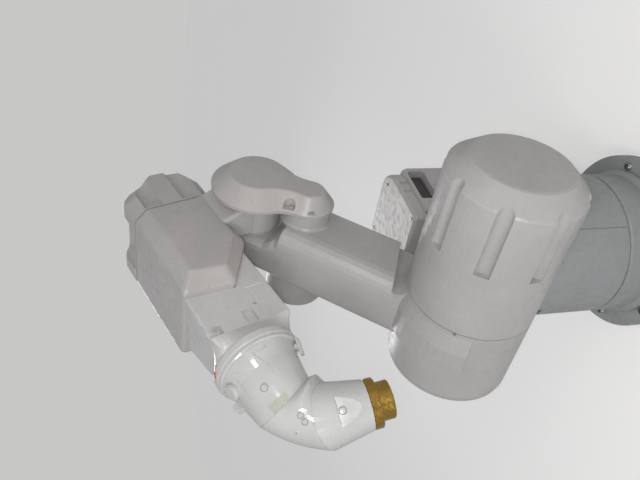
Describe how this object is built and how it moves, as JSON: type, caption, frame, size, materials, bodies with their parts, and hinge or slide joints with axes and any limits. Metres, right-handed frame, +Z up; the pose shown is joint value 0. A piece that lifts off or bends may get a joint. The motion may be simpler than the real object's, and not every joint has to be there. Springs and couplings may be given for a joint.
{
  "type": "painting robot arm",
  "caption": "Floor-standing jointed robot arm with a big drum shoulder, leaning box-section arm, boxy forearm and a hollow bending wrist ending in a stepped brass flange.",
  "frame": {"origin": "middle of the foot plate's underside, on the slew axis", "axes": "+Z up along the slew axis, +X forward, the way the forearm points, +Y to the robot's left, where the fluted drum cover ends"},
  "size_m": [1.0024, 0.78, 1.5279],
  "materials": {
    "satin_paint": "satin",
    "cover_paint": "satin",
    "gloss_paint": "gloss",
    "column_paint": "satin",
    "brass": "polished",
    "steel": "satin",
    "dark_plastic": "matte"
  },
  "bodies": {
    "foot": {"foot_plate": "column_paint", "column": "column_paint", "slew_ring": "steel", "connector_box": "column_paint"},
    "head": {"turret": "column_paint", "drum_cover": "satin_paint", "rear_housing": "column_paint", "rear_lid": "cover_paint", "cable_entry": "dark_plastic"},
    "lower_arm": {"arm_casting": "satin_paint", "hub_end_cover": "satin_paint", "elbow_cover_base": "satin_paint", "elbow_cover": "cover_paint", "elbow_cover_post": "satin_paint", "elbow_motor_cover": "satin_paint", "elbow_bearing_cap": "satin_paint"},
    "forearm": {"forearm_housing": "cover_paint", "forearm_rear_cap": "cover_paint", "forearm_tube": "cover_paint"},
    "wrist_roll": {"wrist_ring": "gloss_paint", "wrist_section_1": "gloss_paint"},
    "wrist_bend": {"wrist_section_2": "gloss_paint"},
    "wrist_counter": {"wrist_section_3": "gloss_paint"},
    "tool": {"tool_flange": "brass", "tool_adapter": "brass"}
  },
  "joints": [
    {"name": "slew", "type": "hinge", "parent": "foot", "child": "head", "pos_m": [0, 0, 0.1623], "axis": [0, 0, 1], "range_deg": [-150, 150]},
    {"name": "shoulder", "type": "hinge", "parent": "head", "child": "lower_arm", "pos_m": [0.1, 0, 0.56], "axis": [0, 1, 0], "range_deg": [-4, 100]},
    {"name": "elbow", "type": "hinge", "parent": "lower_arm", "child": "forearm", "pos_m": [-0.38392, 0, 1.11984], "axis": [0, -1, 0], "range_deg": [-14, 95]},
    {"name": "roll", "type": "hinge", "parent": "forearm", "child": "wrist_roll", "pos_m": [0.17342, -0.239, 1.18988], "axis": [0.94, 0, -0.3412], "range_deg": [-150, 150]},
    {"name": "bend", "type": "hinge", "parent": "wrist_roll", "child": "wrist_bend", "pos_m": [0.30051, -0.239, 1.14375], "axis": [0.6721, -0.369, -0.642], "range_deg": [-35, 179]},
    {"name": "counter", "type": "hinge", "parent": "wrist_bend", "child": "wrist_counter", "pos_m": [0.36915, -0.22218, 1.04479], "axis": [0.2885, 0.6043, -0.7427], "range_deg": [-179, 35]},
    {"name": "tool_turn", "type": "hinge", "parent": "wrist_counter", "child": "tool", "pos_m": [0.36625, -0.19851, 0.94161], "axis": [-0.0274, 0.2235, -0.9743], "range_deg": [-180, 180]}
  ],
  "couplings": [
    {"joint": "counter", "follows": "bend", "ratio": -1}
  ]
}
